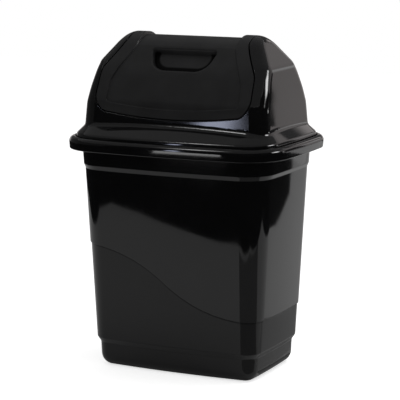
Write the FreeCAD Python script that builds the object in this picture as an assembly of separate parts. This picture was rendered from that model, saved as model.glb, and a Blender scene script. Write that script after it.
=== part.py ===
import FreeCAD, Part
import math
import os

from FreeCAD import Vector

# Swing-lid trash can. Millimetres, +Z up, front towards -Y, origin at the bottom centre.
# bucket: drafted container with a rolled rim. hood: gabled cover standing in the rim's gutter.
# swing_flap: saddle-shaped flap that turns in the hood about the X axis under the ridge.

# Bucket body. The plan is that of the outer wall line, prolonged down to the ground.
BUCKET_HEIGHT = 258.5
BASE_HALF_WIDTH = 100.2
BASE_HALF_DEPTH = 66.4
BASE_CORNER_RADIUS = 19.0
SIDE_BOW_RADIUS = 1000.0
DRAFT_DEG = 3.1
WALL = 2.2

# Foot band and floor, from the ground up.
FOOT_INSET = 4.8
FOOT_HEIGHT = 26.5
FOOT_STEP_HEIGHT = 6.0
FOOT_EDGE_RADIUS = 13.0
STEP_RADIUS = 3.0
FLOOR_CORNER_RADIUS = 1.0
FLOOR_RECESS = 2.0
FLOOR_RECESS_IN = 23.0
FLOOR_RECESS_RADIUS = 8.0

# Wave step: the wall below it stands back. Two equal arcs between two level runs.
WAVE_SET_BACK = 1.2
WAVE_LEFT_Z = 140.0
WAVE_RIGHT_Z = 68.5
WAVE_LEFT_OUT = 4.8
WAVE_RIGHT_IN = 5.2

# Stacking ledge, collar and rolled rim, from the crest of the rim down.
# Offsets are outward from the wall line at the height of the seat.
LEDGE_DROP = 31.1
LEDGE_HEIGHT = 4.0
COLLAR_OUT = 1.5
SEAT_DROP = 4.5
SKIRT_DROP = 13.5
SKIRT_LEAN = 0.9
GUTTER_OUT = 8.7
GUTTER_LEAN = 0.8
CREST_WIDTH = 6.8
ROLL_RADIUS = 5.5
RIM_EDGE_RADIUS = 0.8

# Hood. Its corners are (inset from the lip's outer line, height above the seat, radius).
LIP_CLEARANCE = 0.9
LIP_HEIGHT = 7.5
LIP_RADIUS = 4.5
SHOULDER_HEIGHT = 26.0
SHOULDER_IN_SIDEWAYS = 17.7
SHOULDER_IN_DEPTH = 30.9
SHOULDER_CORNER_RADIUS = 12.0
SHOULDER_FILLET = 8.0
RIDGE_HEIGHT = 116.0
GABLE_FOOT_IN = 21.1
GABLE_KNEE = (23.5, 43.0, 30.0)
GABLE_BEND_DROP = 36.0
GABLE_BEND = (40.4, RIDGE_HEIGHT - GABLE_BEND_DROP, 60.0)
GABLE_PITCH_DEG = 50.0
CHEEK_FOOT_IN = 10.3
CHEEK_BEND = (14.1, 55.0, 120.0)
CHEEK_FOLD_DROP = 33.5
CHEEK_FOLD = (18.9, RIDGE_HEIGHT - CHEEK_FOLD_DROP, 18.5)
CHEEK_TOP_IN = 41.2
CHEEK_EDGE_RADIUS = 17.0

# Mouth: a body of revolution about the pivot, in which the flap turns.
# Its corners are (inset from the lip's outer line, distance from the pivot, radius).
PIVOT_DROP = 14.0
MOUTH_HUB_IN = 49.7
MOUTH_NECK = (MOUTH_HUB_IN, 23.4, 10.0)
MOUTH_KNEE = (30.9, 55.0, 18.0)
MOUTH_CORNER = (29.3, 92.5, 16.0)
MOUTH_SILL_REACH = 101.2
MOUTH_SILL_STRAIGHT = 11.7
MOUTH_GAP = 1.4
RETURN_DEPTH = 8.0

# Bearings.
TRUNNION_RADIUS = 4.0
BEARING_CLEARANCE = 0.08
TRUNNION_PAST_WEB = 1.0
TRUNNION_CHAMFER = 0.8
TAB_RADIUS = 11.0

# Sunk panel of the flap, and the finger recess that hangs from its crease.
BORDER = 13.0
SILL_BORDER = 8.0
PANEL_DROP = 1.5
PANEL_CREST_DROP = 3.1
PANEL_EDGE_RADIUS = 0.7
PANEL_FOOT_RADIUS = 0.5
CREASE_DROP = 12.9
CROWN_SLACK = 0.03
RECESS_BELOW_CREASE = 3.5
RECESS_TOP_HALF = 40.0
RECESS_LOW_HALF = 32.0
RECESS_HEIGHT = 28.0
RECESS_DEPTH = 7.0
RECESS_TAPER = 3.0
RECESS_TOP_RADIUS = 4.0
RECESS_LOW_RADIUS = 20.0
RECESS_RIM_RADIUS = 3.0

# Two points closer than this are one point.
TOLERANCE = 1e-3

DRAFT = math.tan(math.radians(DRAFT_DEG))
RIM_SEAT = BUCKET_HEIGHT - SEAT_DROP
RIM_LINE = DRAFT * RIM_SEAT
LIP_LINE = RIM_LINE + GUTTER_OUT - LIP_CLEARANCE
HOOD_HALF_WIDTH = BASE_HALF_WIDTH + LIP_LINE
HOOD_HALF_DEPTH = BASE_HALF_DEPTH + LIP_LINE
RIDGE_Z = RIM_SEAT + RIDGE_HEIGHT
GABLE_PITCH = math.radians(GABLE_PITCH_DEG)
PIVOT_Z = RIDGE_Z - PIVOT_DROP
MOUTH_HUB = HOOD_HALF_WIDTH - MOUTH_HUB_IN

# Half-length of every cutting block, past the whole object.
REACH = RIDGE_Z


def rounded_path(corners):
    """Edges of a closed outline in a plane from (u, v, radius) corners, round corners as arcs."""
    count = len(corners)
    starts = []
    ends = []
    middles = []
    for i, (u, v, radius) in enumerate(corners):
        here = Vector(u, v, 0)
        back = Vector(corners[i - 1][0], corners[i - 1][1], 0) - here
        ahead = Vector(corners[(i + 1) % count][0], corners[(i + 1) % count][1], 0) - here
        back.normalize()
        ahead.normalize()
        half = back.getAngle(ahead) / 2
        reach = radius / math.tan(half)
        starts.append(here + back * reach)
        ends.append(here + ahead * reach)
        toward = back + ahead
        toward.normalize()
        middles.append(here + toward * (radius / math.sin(half) - radius))
    edges = []
    for i, (u, v, radius) in enumerate(corners):
        if radius > 0:
            edges.append(Part.Arc(starts[i], middles[i], ends[i]).toShape())
        after = starts[(i + 1) % count]
        side = Vector(corners[(i + 1) % count][0] - u, corners[(i + 1) % count][1] - v, 0)
        if (after - ends[i]).dot(side) < 0:
            raise ValueError("two round corners run into each other at %.2f, %.2f" % (u, v))
        if (after - ends[i]).Length > TOLERANCE:
            edges.append(Part.makeLine(ends[i], after))
    return edges


def shifted(corners, amount):
    """Corners of a counter-clockwise outline moved outward by amount, arcs kept concentric."""
    count = len(corners)
    moved = []
    for i, (u, v, radius) in enumerate(corners):
        here = Vector(u, v, 0)
        into = here - Vector(corners[i - 1][0], corners[i - 1][1], 0)
        out = Vector(corners[(i + 1) % count][0], corners[(i + 1) % count][1], 0) - here
        into.normalize()
        out.normalize()
        turn = into.x * out.y - into.y * out.x
        normal = Vector(into.y + out.y, -into.x - out.x, 0)
        move = normal * (amount / (1 + into.dot(out)))
        grow = amount if turn > 0 else -amount
        moved.append((u + move.x, v + move.y, max(radius + grow, 0) if radius > 0 else 0))
    return moved


def mirrored(half):
    """Closed counter-clockwise outline from its right half, listed from the bottom up."""
    left = [(-u, v, radius) for u, v, radius in reversed(half) if u > 0]
    return half + left


def face_of(edges):
    return Part.Face(Part.Wire(edges))


def along_x(edges):
    """Solid from an outline in (Y, Z), as long as the cutting blocks."""
    face = face_of(edges)
    face.rotate(Vector(0, 0, 0), Vector(1, 1, 1), 120)
    face.translate(Vector(-REACH, 0, 0))
    return face.extrude(Vector(2 * REACH, 0, 0))


def along_y(edges):
    """Solid from an outline in (X, Z), as long as the cutting blocks."""
    face = face_of(edges)
    face.rotate(Vector(0, 0, 0), Vector(1, 0, 0), 90)
    face.translate(Vector(0, -REACH, 0))
    return face.extrude(Vector(0, 2 * REACH, 0))


def both_ends(shape):
    return [shape, shape.mirror(Vector(0, 0, 0), Vector(1, 0, 0))]


def both_faces(shape):
    return [shape, shape.mirror(Vector(0, 0, 0), Vector(0, 1, 0))]


def edges_between(body, first, second):
    """Edges of the body that lie on the skins of two other solids."""
    skins = [Part.makeCompound(first.Faces), Part.makeCompound(second.Faces)]
    found = []
    for edge in body.Edges:
        span = edge.LastParameter - edge.FirstParameter
        points = [Part.Vertex(edge.valueAt(edge.FirstParameter + span * part / 4)) for part in (1, 2, 3)]
        if all(point.distToShape(skin)[0] < TOLERANCE for point in points for skin in skins):
            found.append(edge)
    return found


def only_solid(shape):
    solids = shape.removeSplitter().Solids
    if len(solids) != 1:
        raise ValueError("a moulding must be one solid, not %d" % len(solids))
    return solids[0]


def bowed_arcs(half_width, half_depth, corner_radius):
    """Plan outline of eight tangent arcs: (centre, radius, start angle, end angle) in degrees."""
    bow = SIDE_BOW_RADIUS
    front_centre = bow - half_depth
    side_centre = half_width - bow
    apart = math.hypot(side_centre, front_centre)
    off = math.sqrt((bow - corner_radius) ** 2 - (apart / 2) ** 2)
    x = side_centre / 2 + off * front_centre / apart
    y = front_centre / 2 + off * side_centre / apart
    front = math.degrees(math.atan2(y - front_centre, x))
    side = math.degrees(math.atan2(y, x - side_centre))
    return [
        ((0, front_centre), bow, -180 - front, front),
        ((x, y), corner_radius, front, side),
        ((side_centre, 0), bow, side, -side),
        ((x, -y), corner_radius, -side, -front),
        ((0, -front_centre), bow, -front, 180 + front),
        ((-x, -y), corner_radius, 180 + front, 180 + side),
        ((-side_centre, 0), bow, 180 + side, 180 - side),
        ((-x, y), corner_radius, 180 - side, 180 - front),
    ]


def plan_wire(arcs, offset, z):
    edges = []
    for (x, y), radius, start, end in arcs:
        angles = [math.radians(a) for a in (start, (start + end) / 2, end)]
        reach = radius + offset
        points = [Vector(x + reach * math.cos(a), y + reach * math.sin(a), z) for a in angles]
        edges.append(Part.Arc(*points).toShape())
    return Part.Wire(edges)


def plan_block(arcs, offset, bottom, top):
    return Part.Face(plan_wire(arcs, offset, bottom)).extrude(Vector(0, 0, top - bottom))


def swept_ring(corners, arcs):
    """Ring whose section (offset, z) follows the plan outline, each stretch turned about its own centre."""
    section = face_of(rounded_path(corners))
    section.rotate(Vector(0, 0, 0), Vector(1, 0, 0), 90)
    stretches = []
    for (x, y), radius, start, end in arcs:
        piece = section.copy()
        piece.translate(Vector(radius, 0, 0))
        piece.rotate(Vector(0, 0, 0), Vector(0, 0, 1), start)
        piece.translate(Vector(x, y, 0))
        stretches.append(piece.revolve(Vector(x, y, 0), Vector(0, 0, 1), end - start))
    return stretches[0].multiFuse(stretches[1:])


BODY_ARCS = bowed_arcs(BASE_HALF_WIDTH, BASE_HALF_DEPTH, BASE_CORNER_RADIUS)
FLOOR_JOIN = BASE_CORNER_RADIUS - FLOOR_CORNER_RADIUS
FLOOR_TOP = FLOOR_RECESS + WALL


def wall_section(set_back):
    """Section of the bucket wall from the floor joint up to the rolled rim and back down inside."""
    foot_step_top = FOOT_HEIGHT + FOOT_STEP_HEIGHT
    foot_radius = min(FOOT_EDGE_RADIUS, FLOOR_JOIN - FOOT_INSET)
    ledge_top = BUCKET_HEIGHT - LEDGE_DROP
    ledge_bottom = ledge_top - LEDGE_HEIGHT
    collar_top = RIM_LINE + COLLAR_OUT
    seat_under = RIM_SEAT - WALL
    gutter = RIM_LINE + GUTTER_OUT
    crest = gutter + GUTTER_LEAN
    rim_out = crest + CREST_WIDTH
    roll = min(ROLL_RADIUS, CREST_WIDTH - 1.5 * RIM_EDGE_RADIUS)
    skirt_bottom = BUCKET_HEIGHT - SKIRT_DROP
    outer = [
        (-FLOOR_JOIN, 0, 0),
        (-FOOT_INSET, 0, foot_radius),
        (DRAFT * FOOT_HEIGHT - FOOT_INSET, FOOT_HEIGHT, STEP_RADIUS),
        (DRAFT * foot_step_top - set_back, foot_step_top, STEP_RADIUS),
        (DRAFT * ledge_bottom - set_back, ledge_bottom, STEP_RADIUS),
        (DRAFT * ledge_top + COLLAR_OUT, ledge_top, STEP_RADIUS),
        (collar_top, seat_under, 0),
        (gutter - WALL, seat_under, 0),
        (crest - WALL, BUCKET_HEIGHT - WALL, 0),
        (rim_out - WALL, BUCKET_HEIGHT - WALL, roll - WALL),
        (rim_out - WALL - SKIRT_LEAN, skirt_bottom, 0),
        (rim_out - SKIRT_LEAN, skirt_bottom, RIM_EDGE_RADIUS),
        (rim_out, BUCKET_HEIGHT, roll),
        (crest, BUCKET_HEIGHT, RIM_EDGE_RADIUS),
        (gutter, RIM_SEAT, RIM_EDGE_RADIUS),
    ]
    inner = [
        (collar_top - WALL, RIM_SEAT, RIM_EDGE_RADIUS),
        (DRAFT * ledge_top + COLLAR_OUT - WALL, ledge_top, STEP_RADIUS),
        (DRAFT * ledge_bottom - set_back - WALL, ledge_bottom, STEP_RADIUS),
        (DRAFT * foot_step_top - set_back - WALL, foot_step_top, STEP_RADIUS),
        (DRAFT * FOOT_HEIGHT - FOOT_INSET - WALL, FOOT_HEIGHT, STEP_RADIUS),
        (DRAFT * FLOOR_TOP - FOOT_INSET - WALL, FLOOR_TOP, foot_radius - WALL),
        (-FLOOR_JOIN, FLOOR_TOP, 0),
    ]
    return outer + inner


def above_wave():
    """Block above the wave line, as deep as the cutting blocks."""
    left = Vector(-BASE_HALF_WIDTH - WAVE_LEFT_OUT, WAVE_LEFT_Z, 0)
    right = Vector(BASE_HALF_WIDTH - WAVE_RIGHT_IN, WAVE_RIGHT_Z, 0)
    run = right.x - left.x
    drop = left.y - right.y
    radius = (run ** 2 + drop ** 2) / (4 * drop)
    half_turn = math.asin(run / 2 / radius) / 2
    side = radius * math.sin(half_turn)
    fall = radius * (1 - math.cos(half_turn))
    middle = (left + right) / 2
    far_left = Vector(-REACH, left.y, 0)
    far_right = Vector(REACH, right.y, 0)
    top_right = Vector(REACH, REACH, 0)
    top_left = Vector(-REACH, REACH, 0)
    edges = [
        Part.makeLine(far_left, left),
        Part.Arc(left, left + Vector(side, -fall, 0), middle).toShape(),
        Part.Arc(middle, right + Vector(-side, fall, 0), right).toShape(),
        Part.makeLine(right, far_right),
        Part.makeLine(far_right, top_right),
        Part.makeLine(top_right, top_left),
        Part.makeLine(top_left, far_left),
    ]
    return along_y(edges)


def build_bucket():
    above = above_wave()
    upper = swept_ring(wall_section(0), BODY_ARCS).common(above)
    lower = swept_ring(wall_section(WAVE_SET_BACK), BODY_ARCS).cut(above)
    floor = plan_block(BODY_ARCS, -FLOOR_JOIN, 0, FLOOR_TOP)
    recess_arcs = bowed_arcs(
        BASE_HALF_WIDTH - FLOOR_RECESS_IN, BASE_HALF_DEPTH - FLOOR_RECESS_IN, FLOOR_RECESS_RADIUS
    )
    floor = floor.cut(plan_block(recess_arcs, 0, 0, FLOOR_RECESS))
    return only_solid(upper.multiFuse([lower, floor]))


def hood_corner(half_size, corner):
    inset, height, radius = corner
    return (half_size - inset, RIM_SEAT + height, radius)


def footed(corners, inset):
    """The outline with its bottom corners inside the lip or, for a form cut out of another, below the seat."""
    foot = RIM_SEAT - WALL if inset > 0 else RIM_SEAT + WALL
    low = min(v for u, v, radius in corners)
    return [(u, foot if v < low + TOLERANCE else v, radius) for u, v, radius in corners]


def gable():
    """Right half of the roof's outline in (Y, Z). The ridge is as round as its height and pitch ask."""
    bend = hood_corner(HOOD_HALF_DEPTH, GABLE_BEND)
    apex = bend[1] + bend[0] * math.tan(GABLE_PITCH)
    return [
        hood_corner(HOOD_HALF_DEPTH, (GABLE_FOOT_IN, 0, 0)),
        hood_corner(HOOD_HALF_DEPTH, GABLE_KNEE),
        bend,
        (0, apex, (apex - RIDGE_Z) / (1 / math.cos(GABLE_PITCH) - 1)),
    ]


def roof(inset):
    """Solid under the roof surface, moved inward by inset and run through along X."""
    return along_x(rounded_path(footed(shifted(mirrored(gable()), -inset), inset)))


def between_cheeks(inset):
    """Solid between the cheeks, moved inward by inset, open past the ridge and run through along Y."""
    fold = hood_corner(HOOD_HALF_WIDTH, CHEEK_FOLD)
    top = hood_corner(HOOD_HALF_WIDTH, (CHEEK_TOP_IN, RIDGE_HEIGHT, 0))
    past = (2 * top[0] - fold[0], 2 * top[1] - fold[1], 0)
    half = [
        hood_corner(HOOD_HALF_WIDTH, (CHEEK_FOOT_IN, 0, 0)),
        hood_corner(HOOD_HALF_WIDTH, CHEEK_BEND),
        fold,
        past,
    ]
    return along_y(rounded_path(footed(shifted(mirrored(half), -inset), inset)))


def canopy(inset):
    """Roof and cheeks crossed, with the edges between them, which follow no axis, rounded."""
    body = roof(inset).common(between_cheeks(inset))
    seams = []
    for edge in body.Edges:
        span = edge.Vertexes[-1].Point - edge.Vertexes[0].Point
        if min(abs(span.x), abs(span.y), abs(span.z)) > TOLERANCE:
            seams.append(edge)
    return body.makeFillet(CHEEK_EDGE_RADIUS - inset, seams)


def hood_form(inset):
    """Whole hood as a solid, moved inward by inset: lip, ogee shoulder and canopy."""
    bottom = RIM_SEAT - WALL if inset > 0 else RIM_SEAT
    lip_top = RIM_SEAT + LIP_HEIGHT - inset
    end_arcs = bowed_arcs(
        HOOD_HALF_WIDTH - SHOULDER_IN_SIDEWAYS - inset,
        HOOD_HALF_DEPTH - SHOULDER_IN_DEPTH - inset,
        SHOULDER_CORNER_RADIUS - inset,
    )
    lip = plan_block(BODY_ARCS, LIP_LINE - inset, bottom, lip_top)
    start = plan_wire(BODY_ARCS, LIP_LINE - inset, lip_top)
    end = plan_wire(end_arcs, 0, RIM_SEAT + SHOULDER_HEIGHT - inset)
    shoulder = Part.makeLoft([start, end], True, True)
    top = canopy(inset)
    body = lip.multiFuse([shoulder, top]).removeSplitter()
    body = body.makeFillet(SHOULDER_FILLET + inset, edges_between(body, shoulder, top))
    return body.makeFillet(LIP_RADIUS - inset, edges_between(body, shoulder, lip))


def sill_radius(knee, corner):
    """Radius of the mouth's bowed sill, which leaves a short straight beside each round corner."""
    bow = MOUTH_SILL_REACH - corner[1]
    slope = math.atan2(bow, corner[0])
    side = math.atan2(corner[1] - knee[1], corner[0] - knee[0])
    corner_length = corner[2] * math.tan((math.pi - slope - side) / 2)
    return (math.hypot(corner[0], bow) - corner_length - MOUTH_SILL_STRAIGHT) / math.tan(slope)


def mouth(offset, sill_drop=0):
    """Body of revolution about the pivot, moved outward by offset, its sill let down by sill_drop."""
    half = [(MOUTH_HUB, 0, 0)]
    for inset, reach, radius in (MOUTH_NECK, MOUTH_KNEE, MOUTH_CORNER):
        half.append((HOOD_HALF_WIDTH - inset, reach, radius))
    half.append((0, MOUTH_SILL_REACH, sill_radius(half[-2], half[-1])))
    corners = []
    for u, v, radius in shifted(mirrored(half), offset):
        if abs(v + offset) < TOLERANCE:
            v = 0
        elif v > MOUTH_KNEE[1]:
            v = v + sill_drop
        corners.append((u, v, radius))
    body = face_of(rounded_path(corners)).revolve(Vector(0, 0, 0), Vector(1, 0, 0), 360)
    body.translate(Vector(0, 0, PIVOT_Z))
    return body


def tab(near, far):
    """Tongue that hangs from the ridge to round the pivot, between two values of X."""
    hub = Part.makeCylinder(TAB_RADIUS, far - near, Vector(near, 0, PIVOT_Z), Vector(1, 0, 0))
    stem = Part.makeBox(far - near, 2 * TAB_RADIUS, PIVOT_DROP, Vector(near, -TAB_RADIUS, PIVOT_Z))
    return hub.fuse(stem)


def build_hood():
    outside = hood_form(0)
    opening = mouth(MOUTH_GAP)
    shell = outside.cut(hood_form(WALL)).cut(opening)
    edging = mouth(MOUTH_GAP + WALL).cut(opening).common(outside).cut(roof(RETURN_DEPTH))
    near = MOUTH_HUB + MOUTH_GAP
    bore_radius = TRUNNION_RADIUS + BEARING_CLEARANCE
    bore = Part.makeCylinder(bore_radius, WALL, Vector(near, 0, PIVOT_Z), Vector(1, 0, 0))
    web = tab(near, near + WALL).common(outside).cut(bore)
    return only_solid(shell.multiFuse([edging] + both_ends(web)))


def panel_slope():
    """The roof's slope let down to the panel: its foot corners, and the crease at its upper end."""
    lower = shifted(mirrored(gable()), -PANEL_DROP)[:len(gable())]
    apex = lower[-1]
    crease_z = RIDGE_Z - CREASE_DROP
    return lower[:-1], ((apex[1] - crease_z) / math.tan(GABLE_PITCH), crease_z)


def panel_roof(inset):
    """Solid under the sunk panel, moved inward by inset: the slope, a crease and a flatter crown."""
    slope, (crease_y, crease_z) = panel_slope()
    crest = RIDGE_Z - PANEL_CREST_DROP
    rise = crest - crease_z
    radius = (crease_y ** 2 + rise ** 2) / (2 * rise) - CROWN_SLACK
    centre_rise = crest - radius - crease_z
    pitch = math.atan2(centre_rise, crease_y) + math.asin(radius / math.hypot(crease_y, centre_rise))
    half = slope + [(crease_y, crease_z, 0), (0, crease_z + crease_y * math.tan(pitch), radius)]
    return along_x(rounded_path(footed(shifted(mirrored(half), -inset), PANEL_DROP)))


def recess_wire(grow, depth):
    """Outline of the finger recess at a depth below the panel, on the front face."""
    taper = grow - RECESS_TAPER * depth / RECESS_DEPTH
    top = -RECESS_BELOW_CREASE
    low = top - RECESS_HEIGHT
    corners = [
        (-RECESS_TOP_HALF, top, RECESS_TOP_RADIUS),
        (-RECESS_LOW_HALF, low, RECESS_LOW_RADIUS),
        (RECESS_LOW_HALF, low, RECESS_LOW_RADIUS),
        (RECESS_TOP_HALF, top, RECESS_TOP_RADIUS),
    ]
    crease_y, crease_z = panel_slope()[1]
    wire = Part.Wire(rounded_path(shifted(corners, taper)))
    wire.translate(Vector(0, 0, -depth))
    wire.rotate(Vector(0, 0, 0), Vector(1, 0, 0), GABLE_PITCH_DEG)
    wire.translate(Vector(0, -crease_y, crease_z))
    return wire


def build_flap():
    whole = mouth(0)
    sill_drop = BORDER - SILL_BORDER
    sunk = mouth(-BORDER, sill_drop)
    outside = roof(0)
    panel_top = panel_roof(0)
    panel_under = panel_roof(WALL)
    border = outside.cut(roof(WALL)).common(whole.cut(sunk))
    panel = panel_top.cut(panel_under).common(sunk)
    riser = mouth(WALL - BORDER, sill_drop).cut(sunk).common(outside).cut(panel_under)
    edging = whole.cut(mouth(-WALL)).common(outside).cut(roof(RETURN_DEPTH))
    cup = Part.makeLoft([recess_wire(WALL, 0), recess_wire(WALL, RECESS_DEPTH + WALL)], True, True)
    cups = both_faces(cup.common(panel_top))
    tabs = both_ends(tab(MOUTH_HUB - WALL, MOUTH_HUB).common(outside))
    start = Vector(MOUTH_HUB - WALL, 0, PIVOT_Z)
    length = 2 * WALL + MOUTH_GAP + TRUNNION_PAST_WEB
    trunnion = Part.makeCylinder(TRUNNION_RADIUS, length, start, Vector(1, 0, 0))
    trunnion = trunnion.makeChamfer(TRUNNION_CHAMFER, [trunnion.Edges[0]])
    body = border.multiFuse([panel, riser, edging] + cups + tabs + both_ends(trunnion))
    hollows = both_faces(Part.makeLoft([recess_wire(0, -RECESS_DEPTH), recess_wire(0, RECESS_DEPTH)], True, True))
    for hollow in hollows:
        body = body.cut(hollow)
    body = only_solid(body)
    for hollow in hollows:
        body = body.makeFillet(RECESS_RIM_RADIUS, edges_between(body, hollow, panel_top))
    body = body.makeFillet(PANEL_EDGE_RADIUS, edges_between(body, sunk, outside))
    body = body.makeFillet(PANEL_FOOT_RADIUS, edges_between(body, sunk, panel_top))
    return only_solid(body)


def main():
    os.makedirs("parts", exist_ok=True)
    build_bucket().exportStep("parts/bucket.step")
    build_hood().exportStep("parts/hood.step")
    build_flap().exportStep("parts/swing_flap.step")


if __name__ == "__main__":
    main()
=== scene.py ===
import math

import bpy
from bpy.props import FloatProperty, FloatVectorProperty, PointerProperty, StringProperty
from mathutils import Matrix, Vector


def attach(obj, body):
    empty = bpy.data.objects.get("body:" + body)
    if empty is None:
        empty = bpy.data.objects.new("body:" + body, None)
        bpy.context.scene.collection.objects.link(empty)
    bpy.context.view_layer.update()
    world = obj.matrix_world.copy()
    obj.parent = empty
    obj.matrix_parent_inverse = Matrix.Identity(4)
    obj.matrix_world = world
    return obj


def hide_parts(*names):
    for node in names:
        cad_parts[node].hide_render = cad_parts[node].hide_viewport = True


bl_info = {
    "name": "Swing-lid trash can",
    "version": (1, 0, 0),
    "blender": (4, 5, 0),
    "location": "View3D > Sidebar > Trash can",
    "description": "Models and dresses the three mouldings of a swing-lid trash can on a white studio floor",
    "category": "Object",
}

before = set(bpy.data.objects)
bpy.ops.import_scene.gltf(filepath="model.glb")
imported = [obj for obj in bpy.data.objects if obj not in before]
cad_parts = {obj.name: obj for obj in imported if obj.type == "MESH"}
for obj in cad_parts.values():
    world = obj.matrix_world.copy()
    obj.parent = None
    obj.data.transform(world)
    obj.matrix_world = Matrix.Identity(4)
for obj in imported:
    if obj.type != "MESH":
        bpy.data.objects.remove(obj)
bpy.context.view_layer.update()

MM = 0.001
UP = (0, 0, 1)

WHITE = "#ffffff"
WARM_WHITE = "#fff8f7"
COOL_WHITE = "#dde4ff"

# Polypropylene: how strongly it bends light, and the shader's usual level of mirroring.
POLYPROPYLENE_IOR = 1.49
MIRROR_LEVEL = 0.5

# Moulded skin: radius of its soft edges, sizes of its lumps, and height of the orange peel on each finish.
EDGE_RADIUS = 0.8 * MM
EDGE_SAMPLES = 6
SINK_LUMP = 60 * MM
PEEL_LUMP = 2.5 * MM
POLISHED_PEEL = 0.002 * MM
SATIN_PEEL = 0.004 * MM

# Flow streaks in the pigment: size, noise levels at which they start and are full, strength and colour.
STREAK_LUMP = 25 * MM
STREAK_LEVELS = (0.35, 0.65)
STREAK_STRENGTH = 0.35
STREAK_COLOUR = "#808080"

# Uneven roughness: sizes of its lumps, noise levels at which it is least and most, and shares of its mean.
HANDLED_LUMP = 45 * MM
BLASTED_LUMP = 30 * MM
WEAR_LEVELS = (0.3, 0.7)
POLISHED_WEAR = (0.7, 1.4)
SATIN_WEAR = (0.9, 1.15)

# Upright rub marks, drawn wider than real ones so that they show: width, length, noise levels at which a mark
# starts and is full, and the roughness that it adds.
RUB_WIDTH = 0.5 * MM
RUB_LENGTH = 40 * MM
RUB_LEVELS = (0.62, 0.75)
RUB_ROUGHNESS = 0.05

# Etched wall below the wave step: added roughness, loss of mirroring, and half the width of its upper edge.
ETCHED_ROUGHNESS = 0.06
ETCHED_LOSS = 0.10
ETCHED_EDGE = 0.1 * MM

# Painted shade in the corner under the wave step: further loss of mirroring, and how far below the step it is
# still full and gone.
CORNER_SHADE_LOSS = 0.22
CORNER_SHADE_FULL = 1.0 * MM
CORNER_SHADE_GONE = 2.0 * MM

# Painted shade in the inner corner of the finger recess: colour and level of mirroring.
PAINTED_SHADE_COLOUR = "#040404"
PAINTED_SHADE_MIRROR_LEVEL = 0.1

# Limits of that shade: it ends past the rim and under the top wall, and grows between two depths.
RIM_REACH = 3 * MM
TOP_WALL = 3 * MM
SHADE_EDGE = 1 * MM
SHALLOW = 3 * MM
DEEP = 5 * MM

# Numbers of the Mix node's sockets for colours.
COLOUR_A = 6
COLOUR_B = 7
MIXED_COLOUR = 2

# Mesh of the bucket: steps along half the front, a corner and half a side of its plan, steps along a round
# corner of its section, the distance within which points are one, and the fold from which an edge is crisp.
PLAN_STEPS = (6, 12, 5)
CORNER_STEPS = 8
MERGE_DISTANCE = 0.01 * MM
CRISP_ANGLE = math.radians(35)

PAPER_ROUGHNESS = 0.9

# World: its light on the can, and what the camera and reflections see of it.
WORLD_LIGHT = 0.5
WORLD_SEEN = 1.0

# Softbox over the can: place, aim, side and power.
SOFTBOX_PLACE = Vector((0.7, 0.5, 1.9))
SOFTBOX_AIM = Vector((0, 0, 0.2))
SOFTBOX_SIZE = 1.4
SOFTBOX_POWER = 10

# Outline of the white table that the can stands on, as its polished walls show it.
TABLE_EDGE = (
    (-0.675, -0.257), (-0.48, -0.62), (-0.37, -0.61), (-0.10, -0.55), (0.08, -0.55), (0.42, -0.41),
    (0.74, 0.03), (0.42, 0.61), (0.455, 0.86), (0.56, 1.12), (0.8, 1.6), (-0.9, 1.6), (-0.95, 0.3),
)

# Room round the table: height over the floor and brightness.
DARK_ROOM_HEIGHT = 2 * MM
DARK_ROOM_GLOW = 0.02

# Shade of the camera on the table, in front of the right corner.
CAMERA_SHADE = (
    (0.095, -0.064), (0.078, -0.108), (0.07, -0.17), (0.02, -0.54), (0.40, -0.40), (0.62, -0.14),
    (0.28, -0.055), (0.15, -0.030),
)

# Shade of the can on the table, along its right side.
SIDE_SHADE = (
    (0.11, -0.02), (0.20, 0.02), (0.266, 0.094), (0.195, 0.194), (0.1815, 0.2495), (0.16, 0.33),
    (0.105, 0.20),
)

# Deeper shade close to the foot, which the slope over the foot mirrors.
FOOT_SHADE = ((0.088, -0.03), (0.104, -0.03), (0.102, 0.06), (0.096, 0.13), (0.086, 0.13))

# White top of a second table, behind the can on its right.
SIDE_TABLE = ((0.45, 1.10), (1.5, 1.10), (1.5, 2.0), (0.45, 2.0))

# Strip light on the floor in front of the table, which the rim mirrors.
STRIP_LIGHT = (
    (-0.47, -0.945), (-0.35, -0.974), (-0.21, -1.0), (-0.30, -1.25), (-0.45, -1.22), (-0.58, -1.19),
)

# Patches just over the floor: name, outline, height, brightness.
FLOOR_PATCHES = (
    ("camera_shade", CAMERA_SHADE, 1 * MM, 0.22),
    ("side_shade", SIDE_SHADE, 1 * MM, 0.37),
    ("foot_shade", FOOT_SHADE, 2 * MM, 0.17),
    ("side_table", SIDE_TABLE, 3 * MM, 0.8),
    ("strip_light", STRIP_LIGHT, 3 * MM, 4.0),
)

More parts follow.
